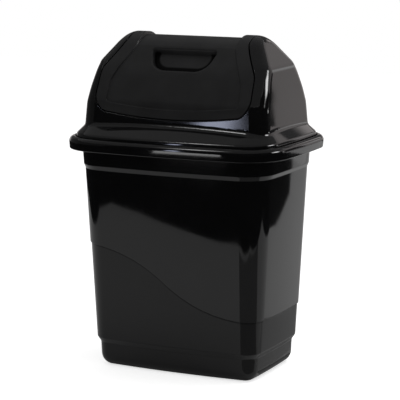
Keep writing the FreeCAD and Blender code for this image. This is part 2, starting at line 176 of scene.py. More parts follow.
# Boards round this middle, which give the polished plastic its reflections: name, azimuths and elevations in
# degrees, distance, colour, brightness, share of soft edge.
BOARD_MIDDLE = Vector((0, 0, 0.25))
BOARD_STEPS = 12
BOARDS = (
    ("dark_room_left", (-120, -36), (-12, 34), 3.0, WHITE, 0.10, 0),
    ("dark_room_wall", (-36, 125), (-12, 34), 3.0, WHITE, 0.03, 0),
    ("white_wall_behind", (125, 160), (-12, 34), 3.0, WARM_WHITE, 0.66, 0),
    ("bright_wall_behind", (160, 166), (8, 34), 3.0, WARM_WHITE, 0.68, 0),
    ("white_wall_left", (160, 240), (-12, 8), 3.0, WARM_WHITE, 0.66, 0),
    ("dim_wall_left", (166, 240), (8, 34), 3.0, WHITE, 0.12, 0),
    ("dim_ceiling", (-180, 180), (34, 90), 2.9, WHITE, 0.24, 0),
    ("front_window", (-25.0, -22.1), (-6, 16), 2.6, COOL_WHITE, 11.0, 0.3),
    ("front_skylight", (-44, -28), (46, 60), 2.6, WHITE, 14.0, 0.4),
    ("right_window", (92, 123), (18, 33), 2.6, WHITE, 14.0, 0.3),
    ("right_lamp", (114, 121), (4.5, 9.5), 0.51, WHITE, 8.0, 0.3),
    ("back_strip", (150, 170), (7, 14), 2.9, WHITE, 1.3, 0.3),
    ("black_flag", (112, 143.2), (-1, 16), 0.53, WHITE, 0.06, 0),
    ("back_window", (168.2, 180), (12, 27), 2.8, WARM_WHITE, 1.1, 0.2),
)

# Boards whose names start so are kept off the satin flap.
POLISHED_ONLY = "front"


def linear(colour):
    """Linear RGBA of an sRGB hex colour."""
    channels = [int(colour[i:i + 2], 16) / 255 for i in (1, 3, 5)]
    light = [c / 12.92 if c <= 0.04045 else ((c + 0.055) / 1.055) ** 2.4 for c in channels]
    return (*light, 1.0)


def add_node(tree, kind, *values, inputs=None, output=0, **settings):
    """Adds a node with its settings, sets or links its inputs, and gives one of its outputs.

    The values go to the first inputs in order, and those in inputs go by name or number. A list goes to
    one input that takes several links.
    """
    node = tree.nodes.new(kind)
    for name, setting in settings.items():
        setattr(node, name, setting)
    given = {**dict(enumerate(values)), **(inputs or {})}
    for socket, value in given.items():
        for source in value if isinstance(value, list) else [value]:
            if isinstance(source, bpy.types.NodeSocket):
                tree.links.new(source, node.inputs[socket])
            else:
                node.inputs[socket].default_value = source
    return node.outputs[output] if node.outputs else None


def new_material(name):
    """An empty node material and its tree."""
    material = bpy.data.materials.new(name)
    material.use_nodes = True
    material.node_tree.nodes.clear()
    return material, material.node_tree


def hairlines(tree, place):
    """Fine upright rub marks, 1 on a mark and 0 between them."""
    fineness = (1 / RUB_WIDTH, 1 / RUB_WIDTH, 1 / RUB_LENGTH)
    stretched = add_node(tree, "ShaderNodeMapping", place, inputs={"Scale": fineness})
    lines = add_node(tree, "ShaderNodeTexNoise", stretched, inputs={"Scale": 1.0, "Detail": 1.0})
    return add_node(tree, "ShaderNodeMapRange", lines, *RUB_LEVELS, 0.0, 1.0)


def moulded_skin(tree, place, ripple, peel):
    """Normal of a moulded skin: small soft edges, slow sink marks and a fine orange peel."""
    edge = add_node(tree, "ShaderNodeBevel", EDGE_RADIUS, samples=EDGE_SAMPLES)
    sink = add_node(tree, "ShaderNodeTexNoise", place, inputs={"Scale": 1 / SINK_LUMP, "Detail": 1.0})
    sunk = add_node(tree, "ShaderNodeBump", inputs={"Height": sink, "Distance": ripple, "Normal": edge})
    grain = add_node(tree, "ShaderNodeTexNoise", place, inputs={"Scale": 1 / PEEL_LUMP, "Detail": 2.0})
    return add_node(tree, "ShaderNodeBump", inputs={"Height": grain, "Distance": peel, "Normal": sunk})


def black_pigment(tree, place, colour):
    """Carbon black that is a little uneven where the melt flowed."""
    flow = add_node(tree, "ShaderNodeTexNoise", place, inputs={"Scale": 1 / STREAK_LUMP, "Detail": 3.0})
    streaks = add_node(tree, "ShaderNodeMapRange", flow, *STREAK_LEVELS, 0.0, STREAK_STRENGTH)
    return add_node(
        tree, "ShaderNodeMix", streaks, inputs={COLOUR_A: linear(colour), COLOUR_B: linear(STREAK_COLOUR)},
        output=MIXED_COLOUR, data_type="RGBA", blend_type="MULTIPLY",
    )


def polished_polypropylene(name, plastic):
    """Black polypropylene from a polished mould, and its shader.

    The eye sees a deep black with sharp, slightly wandering reflections, dulled here and there by
    handling and by fine upright rub marks.
    """
    material, tree = new_material(name)
    place = add_node(tree, "ShaderNodeTexCoord", output="Object")
    handled = add_node(tree, "ShaderNodeTexNoise", place, inputs={"Scale": 1 / HANDLED_LUMP, "Detail": 5.0})
    least, most = (plastic.roughness * share for share in POLISHED_WEAR)
    worn = add_node(tree, "ShaderNodeMapRange", handled, *WEAR_LEVELS, least, most)
    rubbed = add_node(tree, "ShaderNodeMath", hairlines(tree, place), RUB_ROUGHNESS, operation="MULTIPLY")
    shader = add_node(
        tree, "ShaderNodeBsdfPrincipled",
        inputs={
            "Base Color": black_pigment(tree, place, plastic.colour),
            "IOR": POLYPROPYLENE_IOR,
            "Roughness": add_node(tree, "ShaderNodeMath", worn, rubbed, operation="ADD"),
            "Normal": moulded_skin(tree, place, plastic.ripple, POLISHED_PEEL),
        },
    )
    add_node(tree, "ShaderNodeOutputMaterial", shader)
    return material, shader.node


def wave_arcs(bucket):
    """Middle, half run, half drop and radius of the two equal arcs of the wave step."""
    half_run = (bucket.wave_right_x - bucket.wave_left_x) / 2
    half_drop = (bucket.wave_left_z - bucket.wave_right_z) / 2
    return {
        "Wave middle X": (bucket.wave_left_x + bucket.wave_right_x) / 2,
        "Wave middle Z": (bucket.wave_left_z + bucket.wave_right_z) / 2,
        "Wave half run": half_run,
        "Wave half drop": half_drop,
        "Wave radius": (half_run ** 2 + half_drop ** 2) / (2 * half_drop),
    }


def wave_height(tree, across, wave):
    """Height of the wave line at a place across the can. Both arcs are level where they end."""
    from_middle = add_node(tree, "ShaderNodeMath", across, wave["Wave middle X"], operation="SUBTRACT")
    reach = add_node(tree, "ShaderNodeMath", from_middle, operation="ABSOLUTE")
    short = add_node(tree, "ShaderNodeMath", wave["Wave half run"], reach, operation="SUBTRACT")
    short = add_node(tree, "ShaderNodeMath", short, 0.0, operation="MAXIMUM")
    short_square = add_node(tree, "ShaderNodeMath", short, 2.0, operation="POWER")
    radius_square = add_node(tree, "ShaderNodeMath", wave["Wave radius"], 2.0, operation="POWER")
    chord = add_node(tree, "ShaderNodeMath", radius_square, short_square, operation="SUBTRACT")
    chord = add_node(tree, "ShaderNodeMath", chord, operation="SQRT")
    fall = add_node(tree, "ShaderNodeMath", chord, wave["Wave half drop"], operation="ADD")
    fall = add_node(tree, "ShaderNodeMath", fall, wave["Wave radius"], operation="SUBTRACT")
    side = add_node(tree, "ShaderNodeMath", from_middle, operation="SIGN")
    fall = add_node(tree, "ShaderNodeMath", fall, side, operation="MULTIPLY")
    return add_node(tree, "ShaderNodeMath", wave["Wave middle Z"], fall, operation="SUBTRACT")


def etched_and_corner_shade_below_wave(shader, bucket):
    """The mould is finely etched below the wave step, so the skin there mirrors a little less.

    Shade is painted into the inner corner under the step: its mirroring is lowered there, so it reads as a
    thin dark line.
    """
    tree = shader.id_data
    place = add_node(tree, "ShaderNodeTexCoord", output="Object")
    spot = add_node(tree, "ShaderNodeSeparateXYZ", place).node.outputs
    line = wave_height(tree, spot["X"], wave_arcs(bucket))
    height = add_node(tree, "ShaderNodeMath", spot["Z"], line, operation="SUBTRACT")
    below = add_node(tree, "ShaderNodeMapRange", height, -ETCHED_EDGE, ETCHED_EDGE, 1.0, 0.0)
    corner_shade_reach = add_node(tree, "ShaderNodeMapRange", height, -CORNER_SHADE_GONE, -CORNER_SHADE_FULL, 0.0, 1.0)
    corner = add_node(tree, "ShaderNodeMath", below, corner_shade_reach, operation="MULTIPLY")

    polish = shader.inputs["Roughness"].links[0].from_socket
    etched = add_node(tree, "ShaderNodeMath", below, ETCHED_ROUGHNESS, polish, operation="MULTIPLY_ADD")
    tree.links.new(etched, shader.inputs["Roughness"])
    mirror = add_node(tree, "ShaderNodeMath", below, -ETCHED_LOSS, MIRROR_LEVEL, operation="MULTIPLY_ADD")
    # Painted shade: the corner just under the step mirrors less and reads as a thin dark line.
    mirror = add_node(tree, "ShaderNodeMath", corner, -CORNER_SHADE_LOSS, mirror, operation="MULTIPLY_ADD")
    tree.links.new(mirror, shader.inputs["Specular IOR Level"])


def recess_corner(tree, place, recess):
    """Mask of the painted shade: 1 in the inner corner of both finger recesses, under their sides and their
    round lower end, else 0.
    """
    rise = math.sin(recess.pitch)
    run = math.cos(recess.pitch)
    straight = recess.low_end - recess.radius
    shift = (
        recess.radius - recess.half_width,
        recess.crease_height * rise - recess.crease_out * run - straight,
        -recess.crease_height * run - recess.crease_out * rise,
    )

    # From the middle of a round lower corner, X now runs sideways, Y down the slope and Z out of the flap.
    folded = add_node(tree, "ShaderNodeVectorMath", place, operation="ABSOLUTE")
    turned = add_node(
        tree, "ShaderNodeMapping", folded, inputs={"Location": shift, "Rotation": (recess.pitch, 0, 0)}
    )
    spot = add_node(tree, "ShaderNodeSeparateXYZ", turned).node.outputs
    aside = add_node(tree, "ShaderNodeMath", spot["X"], 0.0, operation="MAXIMUM")
    below = add_node(tree, "ShaderNodeMath", spot["Y"], 0.0, operation="MAXIMUM")
    across = add_node(tree, "ShaderNodeCombineXYZ", aside, below)
    round_way = add_node(tree, "ShaderNodeVectorMath", across, output="Value", operation="LENGTH")
    straight_way = add_node(tree, "ShaderNodeMath", spot["X"], spot["Y"], operation="MAXIMUM")
    straight_way = add_node(tree, "ShaderNodeMath", straight_way, 0.0, operation="MINIMUM")
    outward = add_node(tree, "ShaderNodeMath", round_way, straight_way, operation="ADD")
    inward = add_node(tree, "ShaderNodeMath", recess.radius, outward, operation="SUBTRACT")

    shade_end = recess.shade + recess.fade
    top = TOP_WALL - straight
    shade = add_node(tree, "ShaderNodeMapRange", inward, recess.shade, shade_end, 1.0, 0.0)
    limits = (
        (inward, -RIM_REACH - SHADE_EDGE, -RIM_REACH, 0.0, 1.0),
        (spot["Y"], top - SHADE_EDGE, top, 0.0, 1.0),
        (spot["Z"], -DEEP, -SHALLOW, 1.0, 0.0),
    )
    for limit in limits:
        within = add_node(tree, "ShaderNodeMapRange", *limit)
        shade = add_node(tree, "ShaderNodeMath", shade, within, operation="MULTIPLY")
    return shade


def satin_polypropylene_with_painted_shade(name, plastic, recess):
    """Black polypropylene from a blasted mould: a soft sheen without sharp reflections.

    Shade is painted into the inner corner of the finger recess, so that it reads as a dark line.
    """
    material, tree = new_material(name)
    place = add_node(tree, "ShaderNodeTexCoord", output="Object")
    corner = recess_corner(tree, place, recess)
    pigment = black_pigment(tree, place, plastic.flap_colour)
    # Painted shade: the recess's inner corner is mixed towards a near-black colour, and below it mirrors
    # less.
    painted_shade_mix = add_node(
        tree, "ShaderNodeMix", corner, inputs={COLOUR_A: pigment, COLOUR_B: linear(PAINTED_SHADE_COLOUR)},
        output=MIXED_COLOUR, data_type="RGBA",
    )
    mirror = add_node(tree, "ShaderNodeMapRange", corner, 0.0, 1.0, MIRROR_LEVEL, PAINTED_SHADE_MIRROR_LEVEL)
    blasted = add_node(tree, "ShaderNodeTexNoise", place, inputs={"Scale": 1 / BLASTED_LUMP, "Detail": 5.0})
    least, most = (plastic.flap_roughness * share for share in SATIN_WEAR)
    shader = add_node(
        tree, "ShaderNodeBsdfPrincipled",
        inputs={
            "Base Color": painted_shade_mix,
            "IOR": POLYPROPYLENE_IOR,
            "Roughness": add_node(tree, "ShaderNodeMapRange", blasted, *WEAR_LEVELS, least, most),
            "Specular IOR Level": mirror,
            "Normal": moulded_skin(tree, place, plastic.ripple, SATIN_PEEL),
        },
    )
    add_node(tree, "ShaderNodeOutputMaterial", shader)
    return material


def dress(node, material):
    """Puts a material on a CAD node."""
    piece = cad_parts[node]
    for material_slot in piece.material_slots:
        material_slot.material = material


def length(name, description, millimetres):
    """A length setting."""
    return FloatProperty(
        name=name, description=description, default=millimetres * MM, unit="LENGTH", precision=5
    )


def angle(name, description, degrees):
    """An angle setting."""
    return FloatProperty(name=name, description=description, default=math.radians(degrees), subtype="ANGLE")


def factor(name, description, default):
    """A setting from 0 to 1."""
    return FloatProperty(
        name=name, description=description, default=default, min=0, max=1, subtype="FACTOR"
    )


def hex_colour(name, description, default):
    """A colour setting."""
    return StringProperty(name=name, description=description, default=default)


class PlasticSettings(bpy.types.PropertyGroup):
    """Finish of the three mouldings."""
    colour: hex_colour("Colour", "sRGB hex colour of the polished plastic", "#070708")
    roughness: factor("Roughness", "Mean roughness of the polished skin", 0.05)
    flap_colour: hex_colour("Flap colour", "sRGB hex colour of the satin flap", "#1f1f20")
    flap_roughness: factor("Flap roughness", "Mean roughness of the satin flap", 0.42)
    ripple: length("Ripple", "Height of the slow sink marks over the walls", 0.05)


class BucketSettings(bpy.types.PropertyGroup):
    """Sizes of the bucket. Its plan is that of the outer wall line, prolonged down to the ground."""
    height: length("Height", "Ground to the crest of the rim", 258.5)
    half_width: length("Half width", "Middle to the wall line on the ground, sideways", 100.2)
    half_depth: length("Half depth", "Middle to the wall line on the ground, front to back", 66.4)
    corner_radius: length("Corner radius", "Plan corners on the ground", 19.0)
    side_bow: length("Side bow", "Radius of the bowed sides in plan", 1000.0)
    draft: angle("Draft", "Lean of the walls", 3.1)
    wall: length("Wall", "Thickness of the wall", 2.2)
    foot_inset: length("Foot inset", "Foot band inside the wall line", 4.8)
    foot_height: length("Foot height", "Height of the foot band", 26.5)
    foot_step: length("Foot step", "Height of the slope over the foot band", 6.0)
    foot_radius: length("Foot radius", "Round edge of the foot", 13.0)
    step_radius: length("Step radius", "Round corners of the foot step and the ledge", 3.0)
    floor_corner: length("Floor corner", "Plan corners of the floor", 1.0)
    recess: length("Recess", "Depth of the recess under the floor", 2.0)
    recess_in: length("Recess in", "Recess inside the wall line", 23.0)
    recess_corner: length("Recess corner", "Plan corners of the recess", 8.0)
    wave_set_back: length("Wave set-back", "Wall below the wave step behind the wall above it", 1.2)
    wave_soft: length("Wave edge", "Soft edges of the wave step", 0.3)
    wave_left_x: length("Wave left end", "Left end of the wave across the can", -105.0)
    wave_left_z: length("Wave left height", "Height of the left end", 140.0)
    wave_right_x: length("Wave right end", "Right end of the wave across the can", 95.0)
    wave_right_z: length("Wave right height", "Height of the right end", 68.5)
    ledge_drop: length("Ledge drop", "Crest of the rim to the top of the stacking ledge", 31.1)
    ledge_height: length("Ledge height", "Height of the stacking ledge", 4.0)
    collar_out: length("Collar out", "Collar outside the wall line", 1.5)
    seat_drop: length("Seat drop", "Crest of the rim to the seat of the hood", 4.5)
    gutter_out: length("Gutter out", "Wall line to the outer side of the gutter", 8.7)
    gutter_lean: length("Gutter lean", "Lean of the gutter's outer side", 0.8)
    crest_width: length("Crest width", "Gutter to the outside of the rim", 6.8)
    skirt_drop: length("Skirt drop", "Crest of the rim to the edge of its skirt", 13.5)
    skirt_lean: length("Skirt lean", "Lean of the skirt", 0.9)
    roll_radius: length("Roll radius", "Outer radius of the rolled rim", 5.5)
    rim_edge: length("Rim edge", "Small round edges of the rim", 0.8)


class RecessSettings(bpy.types.PropertyGroup):
    """Place of the finger recess under the crease of the flap, for the painted shade in its inner corner."""
    crease_out: length("Crease out", "Middle to the crease of the flap, front to back", 25.5)
    crease_height: length("Crease height", "Height of the crease over the ground", 357.1)
    pitch: angle("Pitch", "Slope of the flap at the recess", 50.0)
    half_width: length("Half width", "Half the width of the recess's floor", 36.0)
    low_end: length("Low end", "Crease to the lower end of the floor, down the slope", 29.0)
    radius: length("Radius", "Round lower corners of the floor", 19.0)
    shade: length("Shade", "Width of the shade along the walls", 4.5)
    fade: length("Fade", "Width over which the shade ends", 2.0)


class StageSettings(bpy.types.PropertyGroup):
    """Floor and camera."""
    azimuth: angle("Azimuth", "Turn of the camera round the can", 26.082)
    elevation: angle("Elevation", "Height angle of the camera", 9.809)
    distance: length("Distance", "From the aim point to the camera", 1992.67)
    aim_height: length("Aim height", "Height of the aim point over the floor", 190.0)
    lens: FloatProperty(name="Lens", description="Focal length in millimetres", default=161.84, unit="CAMERA")
    shift: FloatVectorProperty(
        name="Shift", description="Lens shift of the picture", size=2, default=(0.0082, -0.0113)
    )
    floor_size: length("Floor size", "Side of the square floor", 6000.0)
    floor_glow: factor("Floor glow", "Light that the floor shows to the camera only", 0.68)
    floor_colour: hex_colour("Floor colour", "sRGB hex colour of the floor", "#f4f4f4")


def bowed_plan(half_width, half_depth, corner_radius, bow):
    """Closed plan outline, counter-clockwise: four bowed sides and four round corners, all tangent."""
    front = bow - half_depth
    side = half_width - bow
    apart = math.hypot(side, front)
    off = math.sqrt((bow - corner_radius) ** 2 - (apart / 2) ** 2)
    corner = Vector((side / 2 + off * front / apart, front / 2 + off * side / apart))
    low = math.atan2(corner.y - front, corner.x)
    high = math.atan2(corner.y, corner.x - side)
    quarter = (
        ((0, front), bow, -math.pi / 2, low),
        (corner, corner_radius, low, high),
        ((side, 0), bow, high, 0),
    )
    points = []
    for ((x, y), radius, start, end), steps in zip(quarter, PLAN_STEPS):
        for step in range(steps):
            turn = start + (end - start) * step / steps
            points.append(Vector((x + radius * math.cos(turn), y + radius * math.sin(turn), 0)))
    points.append(Vector((half_width, 0, 0)))
    points += [Vector((p.x, -p.y, 0)) for p in reversed(points[:-1])]
    points += [Vector((-p.x, p.y, 0)) for p in reversed(points[1:-1])]
    return points


def wall_section(bucket):
    """Corners of the wall's section from the floor up outside, over the rim and down inside.

    Each is (outward from the wall line on the ground, height, radius, 1 on the wave step or else 0).
    """
    lean = math.tan(bucket.draft)
    wall = bucket.wall
    floor_join = bucket.floor_corner - bucket.corner_radius
    floor_top = bucket.recess + wall
    foot_top = bucket.foot_height
    step_top = foot_top + bucket.foot_step
    ledge_top = bucket.height - bucket.ledge_drop
    ledge_foot = ledge_top - bucket.ledge_height
    seat = bucket.height - bucket.seat_drop
    collar = lean * seat + bucket.collar_out
    gutter = lean * seat + bucket.gutter_out
    crest = gutter + bucket.gutter_lean
    rim = crest + bucket.crest_width
    skirt = bucket.height - bucket.skirt_drop
    wave = (bucket.wave_left_z + bucket.wave_right_z) / 2
    back = bucket.wave_set_back
    soft = bucket.wave_soft
    step = bucket.step_radius
    edge = bucket.rim_edge
    outer = [
        (floor_join, 0, 0, 0),
        (-bucket.foot_inset, 0, bucket.foot_radius, 0),
        (lean * foot_top - bucket.foot_inset, foot_top, step, 0),
        (lean * step_top - back, step_top, step, 0),
        (lean * wave - back, wave, soft, 1),
        (lean * wave, wave, soft, 1),
        (lean * ledge_foot, ledge_foot, step, 0),
        (lean * ledge_top + bucket.collar_out, ledge_top, step, 0),
        (collar, seat - wall, 0, 0),
        (gutter - wall, seat - wall, 0, 0),
        (crest - wall, bucket.height - wall, 0, 0),
        (rim - wall, bucket.height - wall, bucket.roll_radius - wall, 0),
        (rim - wall - bucket.skirt_lean, skirt, 0, 0),
        (rim - bucket.skirt_lean, skirt, edge, 0),
        (rim, bucket.height, bucket.roll_radius, 0),
        (crest, bucket.height, edge, 0),
        (gutter, seat, edge, 0),
    ]
    inner = [
        (collar - wall, seat, edge, 0),
        (lean * ledge_top + bucket.collar_out - wall, ledge_top, step, 0),
        (lean * ledge_foot - wall, ledge_foot, step, 0),
        (lean * wave - wall, wave, soft, 1),
        (lean * wave - back - wall, wave, soft, 1),
        (lean * step_top - back - wall, step_top, step, 0),
        (lean * foot_top - bucket.foot_inset - wall, foot_top, step, 0),
        (lean * floor_top - bucket.foot_inset - wall, floor_top, bucket.foot_radius - wall, 0),
        (floor_join, floor_top, 0, 0),
    ]
    return outer + inner


def guide_curve(name, points, closed, radii=None, tilts=None):
    """A polyline for Geometry Nodes. Its points can carry a radius and a tilt."""
    data = bpy.data.curves.new(name, "CURVE")
    data.dimensions = "3D"
    data.twist_mode = "Z_UP"
    line = data.splines.new("POLY")
    line.points.add(len(points) - 1)
    for index, point in enumerate(points):
        line.points[index].co = (*point, 1)
        line.points[index].radius = radii[index] if radii else 1
        line.points[index].tilt = tilts[index] if tilts else 0
    line.use_cyclic_u = closed
    guide = bpy.data.objects.new(name, data)
    bpy.context.scene.collection.objects.link(guide)
    return guide


def bucket_guides(bucket):
    """Plan, section and recess outline of the bucket as curves. The section's up is -Y."""
    plan = bowed_plan(bucket.half_width, bucket.half_depth, bucket.corner_radius, bucket.side_bow)
    recess_width = bucket.half_width - bucket.recess_in
    recess_depth = bucket.half_depth - bucket.recess_in
    recess = bowed_plan(recess_width, recess_depth, bucket.recess_corner, bucket.side_bow)
    outs, heights, radii, on_wave = zip(*wall_section(bucket))
    section = [(out, -height, 0) for out, height in zip(outs, heights)]
    return {
        "Plan": guide_curve("bucket_plan", plan, True),
        "Section": guide_curve("bucket_section", section, False, radii, on_wave),
        "Recess plan": guide_curve("bucket_recess", recess, True),
    }


BUCKET_INPUTS = {
    "NodeSocketObject": ("Plan", "Section", "Recess plan"),
    "NodeSocketFloat": (
        "Floor inset", "Floor top", "Recess depth", "Lean", "Wave middle X", "Wave middle Z",
        "Wave half run", "Wave half drop", "Wave radius",
    ),
    "NodeSocketInt": ("Corner steps",),
    "NodeSocketMaterial": ("Material",),
}


def waved_wall(tree, given, plan, section, outward):
    """The section swept round the plan, with its wave step bent up and down along the leaning wall."""
    path = add_node(tree, "GeometryNodeCaptureAttribute", plan).node
    path.capture_items.new("VECTOR", "Outward")
    tree.links.new(outward, path.inputs["Outward"])

    # The tilt of a section point says whether it lies on the wave step.
    profile = add_node(tree, "GeometryNodeCaptureAttribute", section).node
    profile.capture_items.new("FLOAT", "On wave")
    tree.links.new(add_node(tree, "GeometryNodeInputCurveTilt"), profile.inputs["On wave"])
    radius = add_node(tree, "GeometryNodeInputRadius")
    rounded = add_node(
        tree, "GeometryNodeFilletCurve", profile.outputs["Geometry"],
        inputs={"Count": given["Corner steps"], "Radius": radius}, mode="POLY",
    )
    wall = add_node(tree, "GeometryNodeCurveToMesh", path.outputs["Geometry"], rounded)

    place = add_node(tree, "GeometryNodeInputPosition")
    across = add_node(tree, "ShaderNodeSeparateXYZ", place, output="X")
    line = wave_height(tree, across, given)
    climb = add_node(tree, "ShaderNodeMath", line, given["Wave middle Z"], operation="SUBTRACT")
    climb = add_node(tree, "ShaderNodeMath", climb, profile.outputs["On wave"], operation="MULTIPLY")
    lean = add_node(
        tree, "ShaderNodeVectorMath", path.outputs["Outward"],
        inputs={"Scale": given["Lean"]}, operation="SCALE",
    )
    slope = add_node(tree, "ShaderNodeVectorMath", lean, UP, operation="ADD")
    bend = add_node(tree, "ShaderNodeVectorMath", slope, inputs={"Scale": climb}, operation="SCALE")
    wall = add_node(tree, "GeometryNodeSetPosition", wall, inputs={"Offset": bend})
    return add_node(tree, "GeometryNodeFlipFaces", wall)


def recessed_floor(tree, given, plan, recess_line, outward):
    """The sheets that close the bucket below: floor inside, ring on the ground, and the recess in it."""
    inset = add_node(
        tree, "ShaderNodeVectorMath", outward, inputs={"Scale": given["Floor inset"]}, operation="SCALE"
    )
    floor_line = add_node(tree, "GeometryNodeSetPosition", plan, inputs={"Offset": inset})
    floor_height = add_node(tree, "ShaderNodeCombineXYZ", inputs={"Z": given["Floor top"]})
    floor_top = add_node(tree, "GeometryNodeFillCurve", floor_line)
    floor_top = add_node(tree, "GeometryNodeSetPosition", floor_top, inputs={"Offset": floor_height})

    both_lines = add_node(tree, "GeometryNodeJoinGeometry", [floor_line, recess_line])
    ground_ring = add_node(tree, "GeometryNodeFillCurve", both_lines)
    ground_ring = add_node(tree, "GeometryNodeFlipFaces", ground_ring)

    recess_height = add_node(tree, "ShaderNodeCombineXYZ", inputs={"Z": given["Recess depth"]})
    recess_roof = add_node(tree, "GeometryNodeFillCurve", recess_line)
    recess_roof = add_node(tree, "GeometryNodeFlipFaces", recess_roof)
    recess_roof = add_node(tree, "GeometryNodeSetPosition", recess_roof, inputs={"Offset": recess_height})

    section_up = (0, -1, 0)
    top_end = add_node(
        tree, "ShaderNodeVectorMath", section_up, inputs={"Scale": given["Recess depth"]}, operation="SCALE"
    )
    upright = add_node(tree, "GeometryNodeCurvePrimitiveLine", (0, 0, 0), top_end)
    recess_wall = add_node(tree, "GeometryNodeCurveToMesh", recess_line, upright)
    return [floor_top, ground_ring, recess_roof, recess_wall]


def bucket_tree():
    """Sweeps the wall's section round the plan, bends the wave step into it and closes the floor."""
    tree = bpy.data.node_groups.new("swept_bucket", "GeometryNodeTree")
    for kind, names in BUCKET_INPUTS.items():
        for name in names:
            tree.interface.new_socket(name, in_out="INPUT", socket_type=kind)
    tree.interface.new_socket("Bucket", in_out="OUTPUT", socket_type="NodeSocketGeometry")
    given = add_node(tree, "NodeGroupInput").node.outputs
    plan, section, recess_line = (
        add_node(tree, "GeometryNodeObjectInfo", given[name], output="Geometry")
        for name in BUCKET_INPUTS["NodeSocketObject"]
    )
    tangent = add_node(tree, "GeometryNodeInputTangent")
    outward = add_node(tree, "ShaderNodeVectorMath", tangent, UP, operation="CROSS_PRODUCT")

    wall = waved_wall(tree, given, plan, section, outward)
    floor_sheets = recessed_floor(tree, given, plan, recess_line, outward)
    body = add_node(tree, "GeometryNodeJoinGeometry", [wall, *floor_sheets])
    body = add_node(tree, "GeometryNodeMergeByDistance", body, inputs={"Distance": MERGE_DISTANCE})
    fold = add_node(tree, "GeometryNodeInputMeshEdgeAngle")
    crisp = add_node(tree, "ShaderNodeMath", fold, CRISP_ANGLE, operation="GREATER_THAN")
    body = add_node(
        tree, "GeometryNodeSetShadeSmooth", body,
        inputs={"Selection": crisp, "Shade Smooth": False}, domain="EDGE",
    )
    body = add_node(tree, "GeometryNodeRealizeInstances", body)
    body = add_node(tree, "GeometryNodeSetMaterial", body, inputs={"Material": given["Material"]})
    add_node(tree, "NodeGroupOutput", body)
    return tree


def swept_bucket(name, bucket, material):
    """The bucket as a plain mesh, from its plan, its section and the tree above."""
    guides = bucket_guides(bucket)
    values = {
        **guides,
        **wave_arcs(bucket),
        "Floor inset": bucket.floor_corner - bucket.corner_radius,
        "Floor top": bucket.recess + bucket.wall,
        "Recess depth": bucket.recess,
        "Lean": math.tan(bucket.draft),
        "Corner steps": CORNER_STEPS,
        "Material": material,
    }
    piece = bpy.data.objects.new(name, bpy.data.meshes.new(name))
    bpy.context.scene.collection.objects.link(piece)
    sweep = piece.modifiers.new("sweep", "NODES")
    sweep.node_group = bucket_tree()
    for socket in sweep.node_group.interface.items_tree:
        if socket.in_out == "INPUT":
            sweep[socket.identifier] = values[socket.name]
    normals = piece.modifiers.new("normals", "WEIGHTED_NORMAL")
    normals.keep_sharp = True
    depsgraph = bpy.context.evaluated_depsgraph_get()
    mesh = bpy.data.meshes.new_from_object(piece.evaluated_get(depsgraph), depsgraph=depsgraph)
    if not mesh.polygons:
        raise RuntimeError("the bucket's sweep made no faces")
    piece.modifiers.clear()
    piece.data = mesh
    for guide in guides.values():
        bpy.data.objects.remove(guide)
    return piece


class TRASHCAN_OT_bucket(bpy.types.Operator):
    """Sweep the bucket round its plan and give it its moulded plastic"""
    bl_idname = "trashcan.bucket"
    bl_label = "Bucket"

    def execute(self, context):
        scene = context.scene
        material, shader = polished_polypropylene("polished_etched_polypropylene_with_painted_shade", scene.can_plastic)
        etched_and_corner_shade_below_wave(shader, scene.can_bucket)
        piece = swept_bucket("moulded_bucket", scene.can_bucket, material)
        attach(piece, "bucket")
        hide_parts("bucket")
        return {"FINISHED"}


class TRASHCAN_OT_hood(bpy.types.Operator):
    """Give the hood its moulded plastic"""
    bl_idname = "trashcan.hood"
    bl_label = "Hood"

    def execute(self, context):
        material = polished_polypropylene("polished_polypropylene", context.scene.can_plastic)[0]
        dress("hood", material)
        return {"FINISHED"}


class TRASHCAN_OT_flap(bpy.types.Operator):
    """Give the swing flap its moulded plastic"""
    bl_idname = "trashcan.flap"
    bl_label = "Swing flap"

    def execute(self, context):
        scene = context.scene
        material = satin_polypropylene_with_painted_shade("satin_polypropylene_with_painted_shade", scene.can_plastic, scene.can_recess)
        dress("swing_flap", material)
        return {"FINISHED"}


def white_paper(colour, glow):
    """Matt white paper. It glows a little to the camera, so that only the can's shadow is less than white."""
    material, tree = new_material("matt_white_paper")
    seen = add_node(tree, "ShaderNodeLightPath", output="Is Camera Ray")
    paper = add_node(
        tree, "ShaderNodeBsdfPrincipled",
        inputs={
            "Base Color": linear(colour),
            "Roughness": PAPER_ROUGHNESS,
            "Specular IOR Level": 0.0,
            "Emission Color": linear(WHITE),
            "Emission Strength": add_node(tree, "ShaderNodeMath", seen, glow, operation="MULTIPLY"),
        },
    )
    add_node(tree, "ShaderNodeOutputMaterial", paper)
    return material


def glowing_board(name, brightness):
    """White board lit to an even brightness."""
    material, tree = new_material(name)
    glow = add_node(tree, "ShaderNodeEmission", linear(WHITE), brightness)
    add_node(tree, "ShaderNodeOutputMaterial", glow)
    return material


def faded_board(name, colour, brightness):
    """Board that is lit where its mesh attribute fade is 1, and clear where it is 0."""
    material, tree = new_material(name)
    glow = add_node(tree, "ShaderNodeEmission", linear(colour), brightness)
    clear = add_node(tree, "ShaderNodeBsdfTransparent")
    fade = add_node(tree, "ShaderNodeAttribute", output="Fac", attribute_name="fade")
    add_node(tree, "ShaderNodeOutputMaterial", add_node(tree, "ShaderNodeMixShader", fade, clear, glow))
    return material


def stage_sheet(name, points, faces, material):
    """A sheet of the stage, which is no part of the can."""
    mesh = bpy.data.meshes.new(name)
    mesh.from_pydata(points, [], faces)
    mesh.materials.append(material)
    sheet = bpy.data.objects.new(name, mesh)
    bpy.context.scene.collection.objects.link(sheet)
    return sheet


